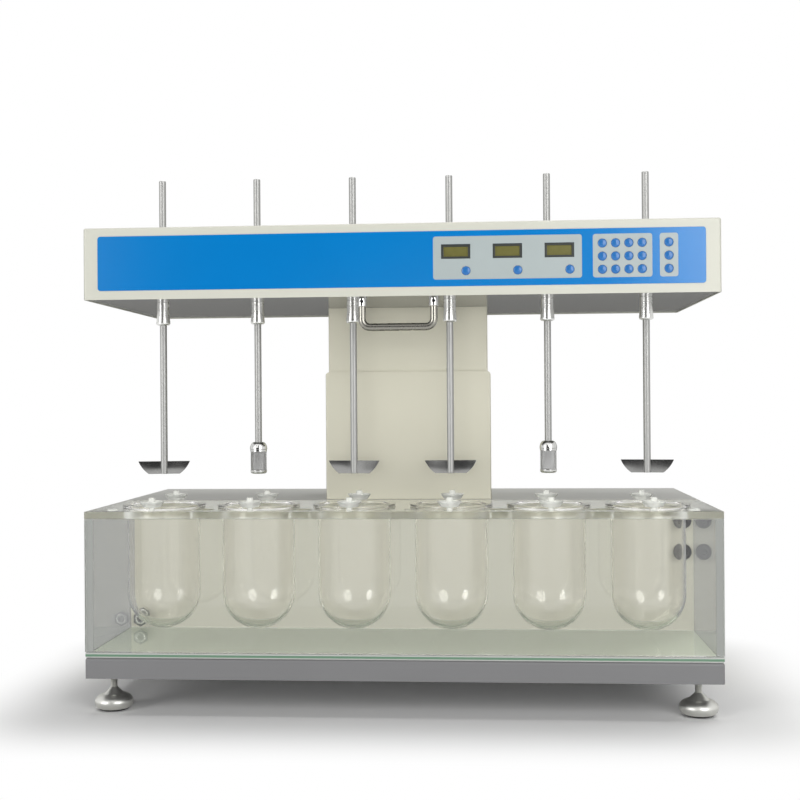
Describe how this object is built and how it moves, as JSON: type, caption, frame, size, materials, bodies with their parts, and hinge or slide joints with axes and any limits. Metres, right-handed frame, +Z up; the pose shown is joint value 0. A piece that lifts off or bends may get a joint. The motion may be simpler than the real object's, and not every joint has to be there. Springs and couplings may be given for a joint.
{
  "type": "dissolution tester",
  "caption": "Bench dissolution tester: clear water bath with round-bottomed glass vessels under a drive head that lifts on a column and turns paddle and basket stirrers.",
  "frame": {"origin": "on the bench under the middle of the base", "axes": "+X to the right along the row of vessels, +Y from the front to the back, +Z up"},
  "size_m": [0.88, 0.45, 0.761],
  "materials": {
    "grey_paint": "satin grey enamel on folded sheet steel",
    "dark_grey_paint": "semi-gloss dark grey enamel",
    "cream_paint": "semi-gloss cream powder coat on sheet steel",
    "acrylic": "polished clear cast acrylic with a faint green edge",
    "clear_knob": "turned and polished clear acrylic",
    "vessel_glass": "clear borosilicate glass, fire polished",
    "black_plastic": "moulded black plastic",
    "pump_plastic": "moulded grey plastic",
    "white_plastic": "machined white low-friction plastic",
    "strut_steel": "black painted steel tube",
    "chrome": "polished bright plate",
    "stirrer_steel": "fine-turned stainless steel",
    "blue_overlay": "printed polyester overlay, blue with light grey fields",
    "blue_key": "domed blue key",
    "display_glass": "olive reflective display behind a clear window",
    "board": "green solder mask",
    "bronze": "machined bearing bronze",
    "belt_rubber": "moulded black rubber",
    "motor_metal": "grey cast housing",
    "pulley_metal": "turned aluminium"
  },
  "bodies": {
    "base": {"base_tray": "grey_paint", "bath_tank": "acrylic", "vessel_plate": "acrylic", "vessels": "vessel_glass", "vessel_clamps": "clear_knob", "water_ports": "black_plastic", "rear_cabinet": "cream_paint", "rear_deck": "grey_paint", "circulation_heater": "pump_plastic", "power_inlet": "black_plastic", "column_sleeve": "cream_paint", "column_glides": "white_plastic", "lift_strut_cylinder": "strut_steel"},
    "head": {"column_slide": "cream_paint", "lift_strut_rod": "chrome", "head_casing": "cream_paint", "head_bottom_plate": "dark_grey_paint", "control_panel": "blue_overlay", "lcd_displays": "display_glass", "control_board": "board", "lift_handle": "chrome", "spindle_bushes": "bronze", "drive_belts": "belt_rubber", "drive_motor": "motor_metal"},
    "foot_1": {"foot_1": "chrome"},
    "foot_2": {"foot_2": "chrome"},
    "foot_3": {"foot_3": "chrome"},
    "foot_4": {"foot_4": "chrome"},
    "power_switch": {"power_switch": "black_plastic"},
    "spindle_1": {"spindle_1": "chrome"},
    "stirrer_1": {"stirrer_1": "stirrer_steel"},
    "spindle_2": {"spindle_2": "chrome"},
    "stirrer_2": {"stirrer_2": "stirrer_steel"},
    "spindle_3": {"spindle_3": "chrome"},
    "stirrer_3": {"stirrer_3": "stirrer_steel"},
    "spindle_4": {"spindle_4": "chrome"},
    "stirrer_4": {"stirrer_4": "stirrer_steel"},
    "spindle_5": {"spindle_5": "chrome"},
    "stirrer_5": {"stirrer_5": "stirrer_steel"},
    "spindle_6": {"spindle_6": "chrome"},
    "stirrer_6": {"stirrer_6": "stirrer_steel"},
    "motor_pulley": {"motor_pulley": "pulley_metal"},
    "display_key_1": {"display_key_1": "blue_key"},
    "display_key_2": {"display_key_2": "blue_key"},
    "display_key_3": {"display_key_3": "blue_key"},
    "pad_key_1": {"pad_key_1": "blue_key"},
    "pad_key_2": {"pad_key_2": "blue_key"},
    "pad_key_3": {"pad_key_3": "blue_key"},
    "pad_key_4": {"pad_key_4": "blue_key"},
    "pad_key_5": {"pad_key_5": "blue_key"},
    "pad_key_6": {"pad_key_6": "blue_key"},
    "pad_key_7": {"pad_key_7": "blue_key"},
    "pad_key_8": {"pad_key_8": "blue_key"},
    "pad_key_9": {"pad_key_9": "blue_key"},
    "pad_key_10": {"pad_key_10": "blue_key"},
    "pad_key_11": {"pad_key_11": "blue_key"},
    "pad_key_12": {"pad_key_12": "blue_key"},
    "mode_key_1": {"mode_key_1": "blue_key"},
    "mode_key_2": {"mode_key_2": "blue_key"},
    "mode_key_3": {"mode_key_3": "blue_key"}
  },
  "joints": [
    {"name": "head_lift", "type": "slide", "parent": "base", "child": "head", "axis": [0, 0, 1], "range_m": [-0.095, 0]},
    {"name": "foot_1_turn", "type": "hinge", "parent": "base", "child": "foot_1", "pos_m": [-0.411, -0.185, 0.0515], "axis": [0, 0, 1], "continuous": true},
    {"name": "foot_2_turn", "type": "hinge", "parent": "base", "child": "foot_2", "pos_m": [0.411, -0.185, 0.0515], "axis": [0, 0, 1], "continuous": true},
    {"name": "foot_3_turn", "type": "hinge", "parent": "base", "child": "foot_3", "pos_m": [-0.411, 0.185, 0.0515], "axis": [0, 0, 1], "continuous": true},
    {"name": "foot_4_turn", "type": "hinge", "parent": "base", "child": "foot_4", "pos_m": [0.411, 0.185, 0.0515], "axis": [0, 0, 1], "continuous": true},
    {"name": "power_switch_rock", "type": "hinge", "parent": "base", "child": "power_switch", "pos_m": [0.24, 0.21, 0.14], "axis": [1, 0, 0], "range_deg": [0, 14]},
    {"name": "spindle_1_spin", "type": "hinge", "parent": "head", "child": "spindle_1", "pos_m": [-0.35, -0.133, 0.582], "axis": [0, 0, 1], "continuous": true},
    {"name": "stirrer_1_slide", "type": "slide", "parent": "spindle_1", "child": "stirrer_1", "axis": [0, 0, 1], "range_m": [-0.101, 0.16]},
    {"name": "spindle_2_spin", "type": "hinge", "parent": "head", "child": "spindle_2", "pos_m": [-0.21, -0.133, 0.582], "axis": [0, 0, 1], "continuous": true},
    {"name": "stirrer_2_slide", "type": "slide", "parent": "spindle_2", "child": "stirrer_2", "axis": [0, 0, 1], "range_m": [-0.101, 0.16]},
    {"name": "spindle_3_spin", "type": "hinge", "parent": "head", "child": "spindle_3", "pos_m": [-0.07, -0.133, 0.582], "axis": [0, 0, 1], "continuous": true},
    {"name": "stirrer_3_slide", "type": "slide", "parent": "spindle_3", "child": "stirrer_3", "axis": [0, 0, 1], "range_m": [-0.101, 0.16]},
    {"name": "spindle_4_spin", "type": "hinge", "parent": "head", "child": "spindle_4", "pos_m": [0.07, -0.133, 0.582], "axis": [0, 0, 1], "continuous": true},
    {"name": "stirrer_4_slide", "type": "slide", "parent": "spindle_4", "child": "stirrer_4", "axis": [0, 0, 1], "range_m": [-0.101, 0.16]},
    {"name": "spindle_5_spin", "type": "hinge", "parent": "head", "child": "spindle_5", "pos_m": [0.21, -0.133, 0.582], "axis": [0, 0, 1], "continuous": true},
    {"name": "stirrer_5_slide", "type": "slide", "parent": "spindle_5", "child": "stirrer_5", "axis": [0, 0, 1], "range_m": [-0.101, 0.16]},
    {"name": "spindle_6_spin", "type": "hinge", "parent": "head", "child": "spindle_6", "pos_m": [0.35, -0.133, 0.582], "axis": [0, 0, 1], "continuous": true},
    {"name": "stirrer_6_slide", "type": "slide", "parent": "spindle_6", "child": "stirrer_6", "axis": [0, 0, 1], "range_m": [-0.101, 0.16]},
    {"name": "motor_spin", "type": "hinge", "parent": "head", "child": "motor_pulley", "pos_m": [0.35, -0.013, 0.582], "axis": [0, 0, 1], "continuous": true},
    {"name": "display_key_1_press", "type": "slide", "parent": "head", "child": "display_key_1", "axis": [0, 1, 0], "range_m": [0, 0.0008], "stiffness_N_per_m": 2500},
    {"name": "display_key_2_press", "type": "slide", "parent": "head", "child": "display_key_2", "axis": [0, 1, 0], "range_m": [0, 0.0008], "stiffness_N_per_m": 2500},
    {"name": "display_key_3_press", "type": "slide", "parent": "head", "child": "display_key_3", "axis": [0, 1, 0], "range_m": [0, 0.0008], "stiffness_N_per_m": 2500},
    {"name": "pad_key_1_press", "type": "slide", "parent": "head", "child": "pad_key_1", "axis": [0, 1, 0], "range_m": [0, 0.0008], "stiffness_N_per_m": 2500},
    {"name": "pad_key_2_press", "type": "slide", "parent": "head", "child": "pad_key_2", "axis": [0, 1, 0], "range_m": [0, 0.0008], "stiffness_N_per_m": 2500},
    {"name": "pad_key_3_press", "type": "slide", "parent": "head", "child": "pad_key_3", "axis": [0, 1, 0], "range_m": [0, 0.0008], "stiffness_N_per_m": 2500},
    {"name": "pad_key_4_press", "type": "slide", "parent": "head", "child": "pad_key_4", "axis": [0, 1, 0], "range_m": [0, 0.0008], "stiffness_N_per_m": 2500},
    {"name": "pad_key_5_press", "type": "slide", "parent": "head", "child": "pad_key_5", "axis": [0, 1, 0], "range_m": [0, 0.0008], "stiffness_N_per_m": 2500},
    {"name": "pad_key_6_press", "type": "slide", "parent": "head", "child": "pad_key_6", "axis": [0, 1, 0], "range_m": [0, 0.0008], "stiffness_N_per_m": 2500},
    {"name": "pad_key_7_press", "type": "slide", "parent": "head", "child": "pad_key_7", "axis": [0, 1, 0], "range_m": [0, 0.0008], "stiffness_N_per_m": 2500},
    {"name": "pad_key_8_press", "type": "slide", "parent": "head", "child": "pad_key_8", "axis": [0, 1, 0], "range_m": [0, 0.0008], "stiffness_N_per_m": 2500},
    {"name": "pad_key_9_press", "type": "slide", "parent": "head", "child": "pad_key_9", "axis": [0, 1, 0], "range_m": [0, 0.0008], "stiffness_N_per_m": 2500},
    {"name": "pad_key_10_press", "type": "slide", "parent": "head", "child": "pad_key_10", "axis": [0, 1, 0], "range_m": [0, 0.0008], "stiffness_N_per_m": 2500},
    {"name": "pad_key_11_press", "type": "slide", "parent": "head", "child": "pad_key_11", "axis": [0, 1, 0], "range_m": [0, 0.0008], "stiffness_N_per_m": 2500},
    {"name": "pad_key_12_press", "type": "slide", "parent": "head", "child": "pad_key_12", "axis": [0, 1, 0], "range_m": [0, 0.0008], "stiffness_N_per_m": 2500},
    {"name": "mode_key_1_press", "type": "slide", "parent": "head", "child": "mode_key_1", "axis": [0, 1, 0], "range_m": [0, 0.0008], "stiffness_N_per_m": 2500},
    {"name": "mode_key_2_press", "type": "slide", "parent": "head", "child": "mode_key_2", "axis": [0, 1, 0], "range_m": [0, 0.0008], "stiffness_N_per_m": 2500},
    {"name": "mode_key_3_press", "type": "slide", "parent": "head", "child": "mode_key_3", "axis": [0, 1, 0], "range_m": [0, 0.0008], "stiffness_N_per_m": 2500}
  ],
  "couplings": [
    {"joint": "spindle_2_spin", "follows": "spindle_1_spin", "ratio": 1},
    {"joint": "spindle_3_spin", "follows": "spindle_1_spin", "ratio": 1},
    {"joint": "spindle_4_spin", "follows": "spindle_1_spin", "ratio": 1},
    {"joint": "spindle_5_spin", "follows": "spindle_1_spin", "ratio": 1},
    {"joint": "spindle_6_spin", "follows": "spindle_1_spin", "ratio": 1},
    {"joint": "motor_spin", "follows": "spindle_1_spin", "ratio": 1}
  ]
}
